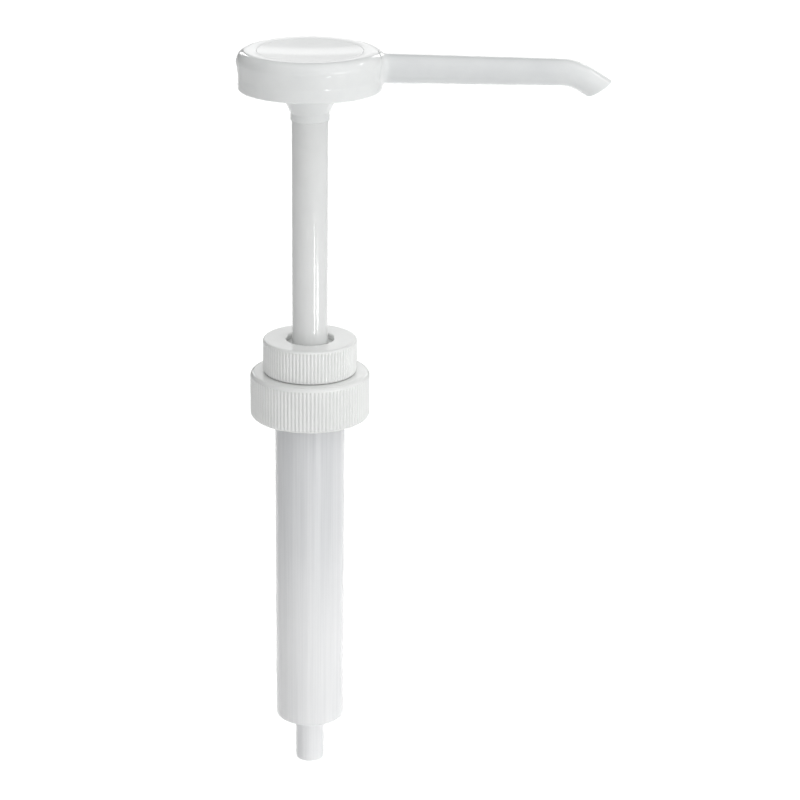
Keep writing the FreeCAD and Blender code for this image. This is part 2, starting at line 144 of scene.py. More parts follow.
def turned(profile, columns=192, shift=None):
    """Ring-like surface of revolution.

    Point (i, k) is profile point i at the angle a = 2 pi k / columns: x = r cos a, y = r sin a, z = z,
    where shift(r, z, a) has been added to r.
    """
    angle = 2 * np.pi * np.arange(columns)[None, :] / columns
    r, z, a = np.broadcast_arrays(profile[:, :1], profile[:, 1:], angle)
    if shift is not None:
        r = r + shift(r, z, a)
    points = np.stack([r * np.cos(a), r * np.sin(a), z], axis=-1)
    return points.reshape(-1, 3), grid_faces(len(profile), columns, True), NO_TRIANGLES


def capped(points, columns, ends):
    """Tube of rows of points, closed at both ends by a fan round one more point."""
    rows = len(points) // columns
    last_row = (rows - 1) * columns
    k = np.arange(columns)
    following = (k + 1) % columns
    first_fan = np.stack([np.full(columns, len(points)), following, k], axis=1)
    last_fan = np.stack([np.full(columns, len(points) + 1), last_row + k, last_row + following], axis=1)
    triangles = np.concatenate([first_fan, last_fan])
    return np.concatenate([points, ends]), grid_faces(rows, columns, False), triangles


def turned_solid(profile, columns=192):
    """Surface of revolution whose outline starts and ends on the axis, where each row is one point."""
    points, _, _ = turned(profile[1:-1], columns)
    return capped(points, columns, np.array([[0, 0, profile[0, 1]], [0, 0, profile[-1, 1]]]))


def joined(*shells):
    """Several closed shells as the shells of one piece."""
    offsets = np.cumsum([0] + [len(points) for points, _, _ in shells])
    points = np.concatenate([shell[0] for shell in shells])
    quads = np.concatenate([shell[1] + offset for shell, offset in zip(shells, offsets)])
    triangles = np.concatenate([shell[2] + offset for shell, offset in zip(shells, offsets)])
    return points, quads, triangles


def outward(shell):
    """The same shell with its faces pointing outwards.

    Its volume is the sum over triangles of p . (q x r) / 6, which is negative when they point inwards.
    """
    points, quads, triangles = shell
    halves = np.concatenate([quads[:, [0, 1, 2]], quads[:, [0, 2, 3]], triangles])
    p, q, r = points[halves[:, 0]], points[halves[:, 1]], points[halves[:, 2]]
    volume = np.einsum("ij,ij->i", p, np.cross(q, r)).sum() / 6
    if volume < 0:
        quads, triangles = quads[:, ::-1], triangles[:, ::-1]
    return points, quads, triangles


print("helpers for turned surfaces are ready")

# %% Ribs and threads as changes of radius
RUN_OUT = 0.06


def ribs(count, depth, low, high, fade, beyond):
    """Grip ribs from low to high, on the points past the radius beyond.

    At the phase p of a rib the radius drops by depth (2 p - 1)^2, so crests are round and grooves are
    sharp. The depth fades out over the length fade at both ends.
    """
    def shift(r, z, a):
        phase = a * count / (2 * np.pi) % 1
        ends = smooth((z - low) / fade) * smooth((high - z) / fade)
        return -depth * (2 * phase - 1) ** 2 * ends * (r > beyond)
    return shift


def thread(wall, rise, width, pitch, low, turns):
    """Thread ridge on the wall of that radius; rise is negative for an inside thread.

    Its centre climbs one pitch a turn from low, each flank slopes over a quarter of its width, and it runs
    out smoothly at both ends, over the share RUN_OUT of a turn.
    """
    def shift(r, z, a):
        lap = (z - low) / pitch - a / (2 * np.pi)
        nearest = np.round(lap)
        place = nearest + a / (2 * np.pi)
        ridge = np.clip((width / 2 - np.abs(lap - nearest) * pitch) / (width / 4), 0, 1)
        ends = smooth(place / RUN_OUT) * smooth((turns - place) / RUN_OUT)
        return rise * ridge * ends * (np.abs(r - wall) < 0.01)
    return shift


print("helpers for ribs and threads are ready")

# %% [markdown]
# ## Shader maths that reads like arithmetic
# A finish needs many small sums on noise and position. Wiring Math nodes by hand hides the idea, so a
# Signal stands for a socket, and + - * / on it add the Math nodes. Most other nodes go through one
# method, node().

# %% Signals and finishes


class Signal:
    """A value on its way between shader nodes."""

    def __init__(self, tree, socket):
        self.tree = tree
        self.socket = socket

    def maths(self, operation, *values):
        node = self.tree.nodes.new("ShaderNodeMath")
        node.operation = operation
        for entry, value in zip(node.inputs, values):
            plug(self.tree, entry, value)
        return Signal(self.tree, node.outputs[0])

    def __add__(self, other):
        return self.maths("ADD", self, other)

    def __sub__(self, other):
        return self.maths("SUBTRACT", self, other)

    def __mul__(self, other):
        return self.maths("MULTIPLY", self, other)

    def __truediv__(self, other):
        return self.maths("DIVIDE", self, other)

    def __radd__(self, other):
        return self.maths("ADD", other, self)

    def __rsub__(self, other):
        return self.maths("SUBTRACT", other, self)

    def __rmul__(self, other):
        return self.maths("MULTIPLY", other, self)

    def __rtruediv__(self, other):
        return self.maths("DIVIDE", other, self)

    def ease(self, low, high):
        """0 below low, 1 above high, and a smooth step between."""
        node = self.tree.nodes.new("ShaderNodeMapRange")
        node.interpolation_type = "SMOOTHSTEP"
        for entry, value in zip(node.inputs, (self, low, high, 0.0, 1.0)):
            plug(self.tree, entry, value)
        return Signal(self.tree, node.outputs[0])


def plug(tree, entry, value):
    """Links a Signal to a socket, or writes a plain value on it."""
    if isinstance(value, Signal):
        tree.links.new(value.socket, entry)
    else:
        entry.default_value = value


class Finish:
    """A material in the making: its node tree, its Principled shader and its place on the object."""

    def __init__(self, name, **uniform):
        self.material = bpy.data.materials.new(name)
        self.material.use_nodes = True
        self.tree = self.material.node_tree
        self.shader = self.tree.nodes["Principled BSDF"]
        for entry, value in uniform.items():
            self.shader.inputs[entry.replace("_", " ")].default_value = value
        self.place = self.node("ShaderNodeTexCoord", "Object")

    def node(self, kind, output, settings=None, **entries):
        """Adds a node, sets it up and returns one of its outputs as a Signal."""
        node = self.tree.nodes.new(kind)
        for key, value in (settings or {}).items():
            setattr(node, key, value)
        for entry, value in entries.items():
            plug(self.tree, node.inputs[entry.replace("_", " ")], value)
        return Signal(self.tree, node.outputs[output])

    def noise(self, size, detail=2.0, stretch=(1, 1, 1)):
        """Noise of about 0 to 1 whose grains are size millimetres wide, drawn out by stretch."""
        scale = tuple(1 / (size * MM * s) for s in stretch)
        grid = self.node("ShaderNodeMapping", "Vector", Vector=self.place, Scale=scale)
        return self.node("ShaderNodeTexNoise", "Fac", Vector=grid, Scale=1.0, Detail=detail)

    def measure(self, axis):
        """Place on the object along one axis, in millimetres."""
        return self.node("ShaderNodeSeparateXYZ", axis, Vector=self.place) / MM

    def colour(self, share, low, high):
        """Base colour between two colours, by share."""
        node = self.tree.nodes.new("ShaderNodeMix")
        node.data_type = "RGBA"
        plug(self.tree, node.inputs["Factor"], share)
        node.inputs[6].default_value = (*low, 1)
        node.inputs[7].default_value = (*high, 1)
        self.tree.links.new(node.outputs[2], self.shader.inputs["Base Color"])

    def roughness(self, signal):
        plug(self.tree, self.shader.inputs["Roughness"], signal)

    def relief(self, signal, depth):
        """Bump of that depth in millimetres for a signal from 0 to 1."""
        bump = self.node("ShaderNodeBump", "Normal", Height=signal, Distance=depth * MM, Strength=1.0)
        plug(self.tree, self.shader.inputs["Normal"], bump)


print("finishes can now be written as formulas")

# %% [markdown]
# ## Moulded white plastics
# Polypropylene leaves a polished mould with a gloss that is never quite even: it sinks a little, flows in
# broad pale clouds and picks up fine scuffs. A flat white would look like paint, so each finish mixes two
# close whites by a broad noise, varies the roughness by a finer one, and adds a very shallow relief. The
# light that wanders a little way inside comes from a small, even subsurface share.

# %% One recipe for every moulded white
PEEL = 2.5


def moulded(name, deep, pale, gloss, thin=None, peel_depth=0.003, scuff_run=(1, 1, 6), **uniform):
    """White plastic: cloudy colour, roughness gloss plus up to 0.12, mould relief and fine scuffs.

    The mould's relief has grains PEEL millimetres wide. thin(finish) is the share by which a thin wall
    lets the white go over to grey.
    """
    finish = Finish(name, **uniform)
    clouds = finish.noise(9.0, detail=3.0)
    specks = finish.noise(0.35, detail=1.0)
    white = (clouds * 0.8 + specks * 0.2).ease(0.25, 0.75)
    if thin:
        white = 0.7 + white * 0.3 - thin(finish) * 0.65
    finish.colour(white, deep, pale)
    scuffs = finish.noise(0.22, detail=2.0, stretch=scuff_run).ease(0.6, 0.82)
    finish.roughness(gloss + clouds * 0.05 + scuffs * 0.07)
    finish.relief(finish.noise(PEEL, detail=1.0) + scuffs * -0.06, peel_depth)
    return finish


def spout_wall(finish):
    """Thinness of the head's wall: 0 on the bell, 1 along the spout and less again towards its tip.

    It rises between 24 and 29 mm from the axis, where the spout leaves the bell, and falls by 0.6 between
    76 and 98 mm, round the bend.
    """
    along = finish.measure("X")
    return along.ease(24, 29) * (1 - along.ease(76, 98) * 0.6)


EVEN = (1.0, 1.0, 1.0)
SHALLOW = {"Subsurface_Weight": 0.1, "Subsurface_Scale": 0.001, "Subsurface_Radius": EVEN}
head_white = moulded("head_gloss_white", (0.72, 0.737, 0.745), (0.87, 0.885, 0.88), 0.07,
                     thin=spout_wall, **SHALLOW)
collar_white = moulded("collar_gloss_white", (0.83, 0.84, 0.83), (0.87, 0.88, 0.87), 0.10, **SHALLOW)
rod_white = moulded("rod_gloss_white", (0.785, 0.795, 0.79), (0.825, 0.835, 0.83), 0.08,
                    scuff_run=(1, 1, 30), peel_depth=0.0015, **SHALLOW)
valve_white = moulded("valve_satin_natural", (0.70, 0.71, 0.70), (0.76, 0.765, 0.755), 0.30,
                      Subsurface_Weight=0.25, Subsurface_Scale=0.002, Subsurface_Radius=EVEN)
print("four moulded whites")

# %% Milky barrel


def milky():
    """Thin natural plastic, slightly blue, whose lower part looks paler; drawn marks run along it."""
    finish = Finish("barrel_milky_natural", Subsurface_Weight=0.3, Subsurface_Scale=0.002,
                    Subsurface_Radius=EVEN)
    lower = finish.measure("Z").ease(-40.0, -104.0)
    clouds = finish.noise(12.0, detail=3.0, stretch=(1, 1, 2.5))
    streaks = finish.noise(2.4, detail=3.0, stretch=(1, 1, 50))
    lines = finish.noise(0.5, detail=1.0, stretch=(1, 1, 80))
    share = lower * 0.50 + clouds * 0.2 + streaks * 0.75 + lines * 0.35
    finish.colour((share - 0.25) / 1.15, (0.63, 0.642, 0.658), (0.95, 0.956, 0.962))
    marks = finish.noise(0.4, detail=2.0, stretch=(1, 1, 40))
    finish.roughness(0.13 + clouds * 0.05 + marks * 0.06)
    finish.relief(marks * 0.4 + streaks * 0.6, 0.003)
    return finish


barrel_milky = milky()
print(barrel_milky.material.name)

# %% [markdown]
# ## Seals, foam and steel
# The gasket is closed-cell foam, the rings and the cup are pale silicone, the spring is drawn steel wire
# and the balls are polished steel. Foam needs tiny cells in its relief, silicone a soft dusty gloss.
# Drawn wire has lines along it, so its noise is read from an attribute that follows the wire; the balls
# get hair-fine scuffs.

# %% Foam, silicone and steel


def foam():
    """Closed-cell foam: cells as a Voronoi relief, paler in the middle of each cell and darker in the
    creases where cells meet, which is painted shade.
    """
    finish = Finish("gasket_closed_cell_foam", Subsurface_Weight=0.1, Subsurface_Scale=0.001)
    cells = finish.node("ShaderNodeTexVoronoi", "Distance", Vector=finish.place, Scale=1 / (0.45 * MM))
    # painted shade: the colour darkens towards the cell edges, where the relief sinks into creases
    finish.colour(cells.ease(0.1, 0.8), (0.82, 0.82, 0.80), (0.68, 0.68, 0.66))
    finish.roughness(0.62 + cells * 0.2)
    finish.relief(1 - cells, 0.03)
    return finish


def silicone():
    """Pale silicone with a soft gloss, cloudy and a little dusty."""
    finish = Finish("seal_pale_silicone", Subsurface_Weight=0.3, Subsurface_Scale=0.002)
    dust = finish.noise(0.5, detail=4.0)
    finish.colour(finish.noise(4.0).ease(0.3, 0.7), (0.70, 0.68, 0.63), (0.78, 0.765, 0.72))
    finish.roughness(0.42 + dust * 0.16)
    finish.relief(dust, 0.006)
    return finish


def drawn_wire():
    """Stainless spring wire: die lines run along it, read from the attribute wire_place."""
    finish = Finish("spring_drawn_steel", Metallic=1.0)
    along = finish.node("ShaderNodeAttribute", "Vector", {"attribute_name": "wire_place"})
    lines = finish.node("ShaderNodeTexNoise", "Fac", Vector=along, Scale=9.0, Detail=3.0)
    finish.colour(lines.ease(0.3, 0.7), (0.47, 0.46, 0.44), (0.66, 0.655, 0.64))
    finish.roughness(0.24 + lines * 0.18)
    finish.relief(lines, 0.006)
    return finish


def polished_steel():
    """Polished ball: nearly a mirror, with faint cloudy wear and hair-fine scuffs."""
    finish = Finish("ball_polished_steel", Metallic=1.0)
    wear = finish.noise(2.2, detail=4.0)
    hair = finish.noise(0.12, detail=1.0, stretch=(9, 1, 1)).ease(0.66, 0.8)
    finish.colour(wear.ease(0.3, 0.7), (0.60, 0.60, 0.595), (0.72, 0.72, 0.715))
    finish.roughness(0.07 + wear * 0.06 + hair * 0.12)
    finish.relief(hair, -0.001)
    return finish


gasket_foam = foam()
seal_silicone = silicone()
spring_wire = drawn_wire()
ball_polish = polished_steel()
print("foam, silicone, drawn wire and polished steel")

# %% [markdown]
# ## Turning a surface into a piece
# A surface becomes an object here, in one place: its faces are made to point outwards, its place is in
# its mesh, it rides on a body of the frame, takes a material slot and stands for its CAD node. Creases
# sharper than forty degrees stay crisp and all else is shaded smooth.

# %% Making a piece
CREASE = math.radians(40)


def make_piece(name, shell, body, finish, node):
    """One mesh object from whole arrays, on its body, in the place of its CAD node."""
    points, quads, triangles = outward(shell)
    mesh = bpy.data.meshes.new(name)
    mesh.vertices.add(len(points))
    mesh.vertices.foreach_set("co", (points * MM).astype(np.float32).ravel())
    corners = np.concatenate([quads.ravel(), triangles.ravel()]).astype(np.int32)
    starts = np.concatenate([np.arange(len(quads)) * 4, 4 * len(quads) + np.arange(len(triangles)) * 3])
    mesh.loops.add(len(corners))
    mesh.loops.foreach_set("vertex_index", corners)
    mesh.polygons.add(len(starts))
    mesh.polygons.foreach_set("loop_start", starts.astype(np.int32))
    mesh.polygons.foreach_set("use_smooth", np.ones(len(starts), bool))
    mesh.update(calc_edges=True)
    mesh.set_sharp_from_angle(angle=CREASE)
    mesh.materials.append(finish.material)
    piece = bpy.data.objects.new(name, mesh)
    bpy.context.scene.collection.objects.link(piece)
    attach(piece, body)
    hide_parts(node)
    print(name, "-", len(quads) * 2 + len(triangles), "triangles")
    return piece


# %% [markdown]
# ## The head: bell, hub and spout
# The head is one moulding: a shallow bell with a soft shoulder, a hub that grips the rod, and the spout.
# Bell and hub are turned together from one outline, which runs from the axis inside the hub, round the
# skirt, to the axis on top. FIT is the gap left round whatever sits in a moulding. The spout is a profile
# carried along its centre line, so it is the second shell of the same piece.

# %% Bell and hub
plate_r, plate_foot, _ = cad("head_top_plate")
_, hub_foot, head_top = cad("head")
rod_r, rod_foot, rod_top = cad("rod")
ring_r, ring_low, ring_high = cad("hub_o_ring")
head_r = 25.0
bulge_r = 25.6
socket_r = 5.25
hub_bore = 3.6
hub_r = 6.85
hub_root = 11.5
skirt_foot = head_top - 13.7
ceiling = plate_foot - 1.8
brim = head_top - 0.42
WALL = 2
SHOULDER = 3.9
FIT = 0.05

bell_outline = outline([
    (0, rod_top + 7.2, 0),
    (hub_bore, rod_top + 7.2, 0.3),
    (hub_bore, rod_top + FIT, 0.1),
    (socket_r, rod_top + FIT, 0.1),
    (socket_r, ring_high + FIT, 0.05),
    (ring_r + FIT, ring_high + FIT, 0.1),
    (ring_r + FIT, ring_low - FIT, 0.1),
    (socket_r, ring_low - FIT, 0.05),
    (socket_r, hub_foot, 0.2),
    (hub_r, hub_foot, 0.35),
    (hub_r, hub_foot + 2.7, 0.8),
    (hub_root, hub_foot + 13.2, 1.2),
    (hub_root, ceiling, 0.8),
    (head_r - WALL, ceiling, 1.0),
    (head_r - WALL, skirt_foot, 0.35),
    (head_r, skirt_foot, 0.45),
    (head_r, head_top - 9.2, 5.0),
    (bulge_r, head_top - 4.4, 3.0),
    (bulge_r, head_top, SHOULDER),
    (plate_r + FIT, brim, 0.1),
    (plate_r + FIT, plate_foot, 0.1),
    (0, plate_foot, 0),
], closed=False, step=2.0)
bell = turned_solid(bell_outline, columns=288)
print("bell and hub:", len(bell[0]), "points")

# %% The spout's centre line
DROOP = math.radians(1.25)
BEND = math.radians(33.5)
BEND_R = 18.0
BEND_X = 86.3
ROOT_Z = 115.6
RUN = BEND_X / math.cos(DROOP)
SPOUT_Z = ROOT_Z + head_r * math.tan(DROOP)
CURVE = BEND_R * (BEND - DROOP)
TIP = 5.1


def on_spout(length, radius, around):
    """Point of the spout at that length from the axis, at that radius and angle around the centre line.

    The line crosses the bell's wall at ROOT_Z, runs straight at the droop, bends along a circle from BEND_X
    on and ends straight. A point is the line's point plus radius (cos around Y + sin around N), where N
    stands square to the line in the plane of the bend.
    """
    straight = np.minimum(length, RUN)
    slope = DROOP + np.clip((length - RUN) / BEND_R, 0, BEND - DROOP)
    tip = np.maximum(length - RUN - CURVE, 0)
    ahead = BEND_R * (np.sin(slope) - math.sin(DROOP))
    down = BEND_R * (math.cos(DROOP) - np.cos(slope))
    x = straight * math.cos(DROOP) + ahead + tip * math.cos(BEND)
    z = SPOUT_Z - straight * math.sin(DROOP) - down - tip * math.sin(BEND)
    lift = radius * np.sin(around)
    points = (x + lift * np.sin(slope), radius * np.cos(around), z + lift * np.cos(slope))
    return np.stack(np.broadcast_arrays(*points), axis=-1)


def spout_radius(length):
    """Outer radius, which tapers from root to tip."""
    return np.interp(length, [25, 30, 83, 100], [5.15, 5.08, 4.63, 4.48])


def bore_radius(length):
    """Radius of the passage, which tapers the same way."""
    return np.interp(length, [10, 96], [3.1, 2.9])


print("spout's centre line is", round(RUN + CURVE + TIP, 1), "mm long")

# %% Root of the spout
SPOUT_SIDES = 96
AROUND = 2 * np.pi * np.arange(SPOUT_SIDES)[None, :] / SPOUT_SIDES


def bell_radius(level):
    """Outer radius of the bell at a level: its wall, then its rounded shoulder."""
    wall = np.interp(level, [skirt_foot, head_top - 9, head_top - 4.2], [head_r, head_r, bulge_r])
    over = np.clip(level - (head_top - SHOULDER), 0, 3.85)
    return np.where(over > 0, bulge_r - SHOULDER + np.sqrt(SHOULDER ** 2 - over ** 2), wall)


def root_rows(steps):
    """Rows of the fillet between bell and spout.

    With f the fillet's radius and t from 0 to 90 degrees, a row lies f (1 - sin t) outside the spout and
    f (1 - cos t) in front of the bell's wall, whose x at (y, z) is sqrt(R(z)^2 - y^2). f is small above
    and below, where the bell ends, and larger at the sides.
    """
    t = np.linspace(0, np.pi / 2, steps)[:, None]
    sine = np.sin(AROUND)
    upper, lower, side = 1.2, 1.35, 2.7
    fillet = np.where(sine > 0, upper, lower) * sine ** 2 + side * np.cos(AROUND) ** 2
    radius = spout_radius(25) + fillet * (1 - np.sin(t))
    level = SPOUT_Z - head_r * math.tan(DROOP) + radius * sine
    wall = np.sqrt(bell_radius(level) ** 2 - (radius * np.cos(AROUND)) ** 2)
    ahead = wall + fillet * (1 - np.cos(t)) - radius * sine * math.sin(DROOP)
    return ahead / math.cos(DROOP), radius


root_length, root_radius = root_rows(12)
print("root spreads to", round(float(root_radius.max()), 2), "mm from the centre line")

# %% Mouth of the spout
CUT = math.radians(33)
RUN_END = RUN + CURVE


def mouth_length(radius):
    """Length at which the slanted plane of the mouth cuts the tip, at that radius and each angle around.

    The plane's normal is (sin CUT, 0, -cos CUT), so the length past the bend is TIP less the part of
    radius N that lies along the normal, divided by the part of the tip's own direction along it.
    """
    along = math.cos(BEND) * math.sin(CUT) + math.sin(BEND) * math.cos(CUT)
    across = math.sin(BEND) * math.sin(CUT) - math.cos(BEND) * math.cos(CUT)
    return RUN_END + TIP - radius * np.sin(AROUND) * across / along


def lip_rows(rounding, steps):
    """Rounded lip: a quarter arc from the outer wall to the mouth's plane, then one from it to the bore."""
    t = np.linspace(0, np.pi / 2, steps)[:, None]
    outer = spout_radius(RUN_END + TIP) - rounding * (1 - np.cos(t))
    inner = bore_radius(RUN_END) + rounding * (1 - np.sin(t))
    outer_length = mouth_length(outer) - rounding * (1 - np.sin(t))
    inner_length = mouth_length(inner) - rounding * (1 - np.cos(t))
    return np.concatenate([outer_length, inner_length]), np.concatenate([outer, inner])


lip_length, lip_radius = lip_rows(0.22, 6)
print("lip:", lip_length.shape[0], "rows")

# %% The whole spout
BORE_START = 9.0
ROOT_END = 34.0


def spout_shell():
    """Rows from the hub out to the lip and back along the bore; the last row joins the first."""
    ones = np.ones_like(AROUND)
    inside = np.array([BORE_START, 13.0, 17.0, 21.0, 23.5])[:, None] * ones
    t = np.linspace(0, 1, 10)[1:, None]
    leaving = root_length[-1:] * (1 - t) + ROOT_END * t
    straight = np.linspace(ROOT_END, RUN, 40)[1:, None] * ones
    bending = np.linspace(RUN, RUN_END, 34)[1:, None] * ones
    end = lip_length[:1]
    t = np.linspace(0, 1, 8)[1:-1, None]
    tip = RUN_END * (1 - t) + end * t
    bore_bend = np.linspace(RUN_END, RUN, 24)[:, None] * ones
    bore_run = np.linspace(RUN, BORE_START, 20)[1:, None] * ones
    outer = [inside, root_length, leaving, straight, bending, tip]
    outer_radius = [spout_radius(inside), root_radius] + [spout_radius(part) for part in outer[2:]]
    inner_radius = [bore_radius(bore_bend), bore_radius(bore_run)]
    lengths = np.concatenate(outer + [lip_length, bore_bend, bore_run])
    radii = np.concatenate(outer_radius + [lip_radius * ones] + inner_radius)
    points = on_spout(lengths, radii, AROUND)
    return points.reshape(-1, 3), grid_faces(len(lengths), AROUND.size, True), NO_TRIANGLES


head = make_piece("head_moulding", joined(bell, spout_shell()), "plunger", head_white,
                  "head")
print("head reaches x =", round(max(v.co.x for v in head.data.vertices) / MM, 1), "mm")

# %% [markdown]
# ## The finger plate on top
# A shallow dish for the palm sits in the bell's recess. It is a low disc whose top is hollowed to a very
# flat bowl: at the radius r the surface stands DISH (r / plate_r)^2 above the middle.

# %% Dished plate
DISH = 0.8
DISH_ROWS = 14
across = np.linspace(plate_r - 0.6, 0, DISH_ROWS)
dish = np.stack([across, brim - DISH * (1 - (across / plate_r) ** 2), np.zeros(DISH_ROWS)], axis=1)
plate_edge = [(0, plate_foot, 0), (plate_r, plate_foot, 0.2), (plate_r, brim, 0.1)]
plate_outline = outline(plate_edge + dish.tolist(), closed=False, step=2.0)
make_piece("head_finger_plate", turned_solid(plate_outline, 256), "plunger", head_white,
           "head_top_plate")

# %% [markdown]
# ## Rod and rod guide
# The rod is a moulded tube, thinner where the hub grips it. The guide is the ring it slides in: its
# flange is clamped under the collar and its groove holds the rod's seal.

# %% Rod
END_STEP = 14.0
rod_bore = 3.8
rod_end_r = 5.2
rod_outline = outline([
    (rod_bore, rod_foot, 0.3),
    (rod_r, rod_foot, 0.4),
    (rod_r, rod_top - END_STEP, 0.3),
    (rod_end_r, rod_top - END_STEP, 0.1),
    (rod_end_r, rod_top, 0.4),
    (rod_bore, rod_top, 0.3),
])
make_piece("plunger_rod", turned(rod_outline, 160), "plunger", rod_white, "rod")

# %% Rod guide
guide_r, guide_foot, guide_top = cad("rod_guide")
seal_r, seal_low, seal_high = cad("rod_o_ring")
barrel_r = 12.65
bore_r = 11.35
neck_top = cad("barrel")[2]
guide_bore = rod_r + 0.06
guide_outline = outline([
    (guide_bore, guide_foot, 0.3),
    (bore_r - FIT, guide_foot, 0.4),
    (bore_r - FIT, guide_top - 1.4, 0.1),
    (guide_r, guide_top - 1.4, 0.15),
    (guide_r, guide_top, 0.2),
    (guide_bore, guide_top, 0.35),
    (guide_bore, seal_high + FIT, 0.05),
    (seal_r + FIT, seal_high + FIT, 0.1),
    (seal_r + FIT, seal_low - FIT, 0.1),
    (guide_bore, seal_low - FIT, 0.05),
])
make_piece("rod_guide_ring", turned(guide_outline, 192), "barrel_unit", valve_white,
           "rod_guide")

# %% [markdown]
# ## Collar and screw cap
# Both grip rings carry fine upright ribs between a smooth rounded shoulder and a tucked-in foot. A rib is
# only 0.5 mm deep, so eight columns of the grid shape one rib, and 96 ribs make 768 columns. The thread
# inside is the same kind of change of radius, on the rows of the inner wall.

# %% Grip ring
RIB_COLUMNS = 8
BEVEL = 0.45


def grip_ring(node, bore, hole, roof, shoulder, foot, rib, screw):
    """Turned cup with a hole in its roof: foot is (height, inset), rib is (count, depth), screw a thread.

    The points along the bevel round the hole are left out, so that one straight row of faces makes it.
    """
    radius, low, high = cad(node)
    count, depth = rib
    profile = outline([
        (hole, high - roof, 0.12),
        (bore, high - roof, 0.5),
        (bore, low, 0.25),
        (radius - foot[1], low, 0.2),
        (radius, low + foot[0], 0.3),
        (radius, high, shoulder),
        (hole + BEVEL, high, 0.3),
        (hole, high - BEVEL, 0.2),
    ], step=0.6, arc_steps=5)
    r, z = profile.T
    keep = (r > bore - 0.01) | (z > high - 0.01) | (z < high - BEVEL + 0.01)
    grips = ribs(count, depth, low + foot[0] * 0.5, high - shoulder * 0.8, 0.4, (bore + radius) / 2)
    return turned(profile[keep], count * RIB_COLUMNS, lambda r, z, a: grips(r, z, a) + screw(r, z, a))


collar_bore = 14.75
collar_pitch = 3.0
_, collar_foot, _ = cad("upper_collar")
collar_screw = thread(collar_bore, rise=-0.6, width=1.1, pitch=collar_pitch, low=collar_foot + 2.7,
                      turns=1.75)
collar_shell = grip_ring("upper_collar", collar_bore, hole=8.4, roof=1.8, shoulder=0.8, foot=(0.6, 0.4),
                         rib=(80, 0.5), screw=collar_screw)
make_piece("collar_ring", collar_shell, "barrel_unit", collar_white, "upper_collar")

# %% Screw cap
cap_bore = 19.05
_, cap_foot, _ = cad("screw_cap")
cap_screw = thread(cap_bore, rise=-1.1, width=1.9, pitch=4.23, low=cap_foot + 1.95, turns=1.6)
cap_shell = grip_ring("screw_cap", cap_bore, hole=14.9, roof=1.6, shoulder=1.6, foot=(1.0, 0.8),
                      rib=(96, 0.5), screw=cap_screw)
make_piece("jug_screw_cap", cap_shell, "closure", collar_white, "screw_cap")

# %% [markdown]
# ## The barrel
# One moulding does many jobs: flange and threaded neck on top, the long cylinder, the seat of the inlet
# valve at its floor and the spigot that takes a dip tube. One outline runs up the outside and down the
# inside, with finer rows along the neck, where the thread needs them.

# %% Barrel
_, spigot_foot, _ = cad("barrel")
gasket_r, _, gasket_top = cad("neck_gasket")
neck_r = 14.0
spigot_r = 5.35
passage_r = 3.5
boss_r = 7.0
barrel_foot = spigot_foot + 18.2
floor = barrel_foot + 2.0
boss = floor + 2.0
barrel_outline = outline([
    (passage_r, spigot_foot, 0.3),
    (spigot_r, spigot_foot, 0.5),
    (spigot_r, barrel_foot, 0.5),
    (barrel_r, barrel_foot, 1.2),
    (barrel_r, gasket_top, 0.2),
    (gasket_r, gasket_top, 0.25),
    (gasket_r, gasket_top + 2, 0.3),
    (neck_r, gasket_top + 2, 0.15),
    (neck_r, neck_top, 0.3),
    (bore_r, neck_top, 0.15),
    (bore_r, floor, 0.8),
    (boss_r, floor, 0.3),
    (boss_r, boss, 0.15),
    (6.1, boss, 0.1),
    (passage_r, boss - 2.6, 0.2),
], step=2.5)
neck = outline([(neck_r, gasket_top + 2.5, 0), (neck_r, neck_top - 0.5, 0)], closed=False, step=0.2)
climb = np.flatnonzero(np.abs(barrel_outline[:, 0] - neck_r) < 0.001)
barrel_outline = np.concatenate([barrel_outline[:climb[0] + 1], neck, barrel_outline[climb[-1]:]])
neck_thread = thread(neck_r, rise=0.6, width=1.1, pitch=collar_pitch, low=collar_foot + 1.2, turns=1.75)
make_piece("pump_barrel", turned(barrel_outline, 256, neck_thread), "barrel_unit",
           barrel_milky, "barrel")

# %% [markdown]
# ## Seals
# Two rings of round section, a flat gasket under the guide's flange, a thicker one under the barrel's
# flange, and the piston's cup, whose thin lip wipes the bore. All are turned, from circles or from small
# outlines.

# %% Rings and gaskets


def round_section(node):
    """Outline of an O-ring from its CAD box: a circle, whose points are centre + radius (cos t, sin t)."""
    radius, low, high = cad(node)
    section = (high - low) / 2
    t = np.linspace(0, 2 * np.pi, 40, endpoint=False)
    r = radius - section + section * np.cos(t)
    z = (low + high) / 2 + section * np.sin(t)
    return np.stack([r, z], axis=1)


def flat_ring(node, inner, rounding):
    """Outline of a flat gasket from its CAD box."""
    outer, low, high = cad(node)
    corners = ((inner, low), (outer, low), (outer, high), (inner, high))
    return outline([(r, z, rounding) for r, z in corners])


for node, body in (("rod_o_ring", "barrel_unit"), ("hub_o_ring", "plunger")):
    make_piece(node.replace("o_ring", "seal_ring"), turned(round_section(node), 160), body,
               seal_silicone, node)
make_piece("guide_flat_seal", turned(flat_ring("guide_gasket", bore_r, 0.08)), "barrel_unit",
           seal_silicone, "guide_gasket")
make_piece("neck_foam_gasket", turned(flat_ring("neck_gasket", barrel_r + FIT, 0.2), 256), "barrel_unit",
           gasket_foam, "neck_gasket")

